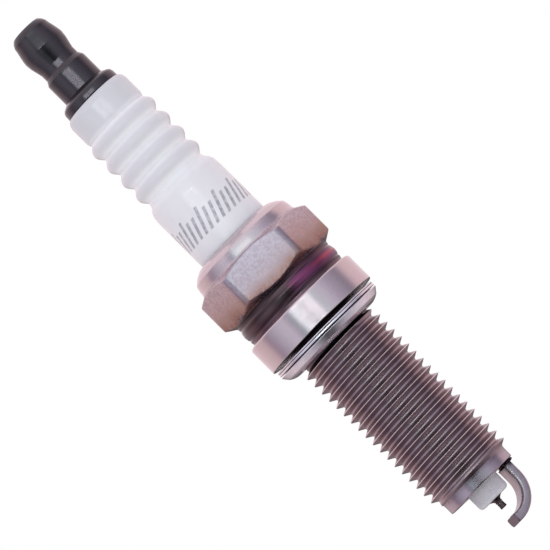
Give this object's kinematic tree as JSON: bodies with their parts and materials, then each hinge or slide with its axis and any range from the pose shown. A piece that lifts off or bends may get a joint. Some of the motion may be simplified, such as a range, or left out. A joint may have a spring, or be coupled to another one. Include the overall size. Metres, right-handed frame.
{
  "type": "spark plug",
  "caption": "Long-reach motorcycle spark plug with a ribbed ceramic insulator, hexagon steel shell, captive gasket, barrel terminal and fine-wire firing end.",
  "frame": {"origin": "centre of the gasket's sealing face, on the plug's axis, where the cylinder head meets it", "axes": "+Z along the plug's axis towards the terminal, -Y out of one flat of the hexagon; the ground electrode stands 26.5 degrees round from +X towards +Y"},
  "size_m": [0.0178, 0.0166, 0.0854],
  "materials": {
    "blackened_steel": "satin",
    "plated_steel": "satin",
    "glazed_ceramic": "gloss",
    "conductive_glass": "satin",
    "resistor_body": "matte",
    "nickel_alloy": "satin",
    "copper": "satin",
    "precious_metal": "satin",
    "nickel_plated_steel": "satin",
    "talc": "matte",
    "weld_flash": "matte",
    "gasket_steel": "polished"
  },
  "bodies": {
    "plug": {"terminal_stud": "blackened_steel", "insulator": "glazed_ceramic", "upper_glass_seal": "conductive_glass", "resistor": "resistor_body", "lower_glass_seal": "conductive_glass", "center_electrode": "nickel_alloy", "center_electrode_core": "copper", "center_tip_weld": "nickel_alloy", "center_tip": "precious_metal", "shell": "nickel_plated_steel", "seat_packing": "plated_steel", "lower_packing_ring": "plated_steel", "talc_ring": "talc", "upper_packing_ring": "plated_steel", "ground_electrode": "nickel_alloy", "ground_electrode_core": "copper", "ground_electrode_weld": "weld_flash", "ground_tip": "precious_metal"},
    "gasket": {"gasket": "gasket_steel"},
    "terminal_nut": {"terminal_nut": "blackened_steel"}
  },
  "joints": [
    {"name": "gasket_spin", "type": "hinge", "parent": "plug", "child": "gasket", "pos_m": [0, 0, 0.001], "axis": [0, 0, 1], "continuous": true},
    {"name": "terminal_nut_removal", "type": "slide", "parent": "plug", "child": "terminal_nut", "axis": [0, 0, 1], "range_m": [0, 0.01]}
  ]
}
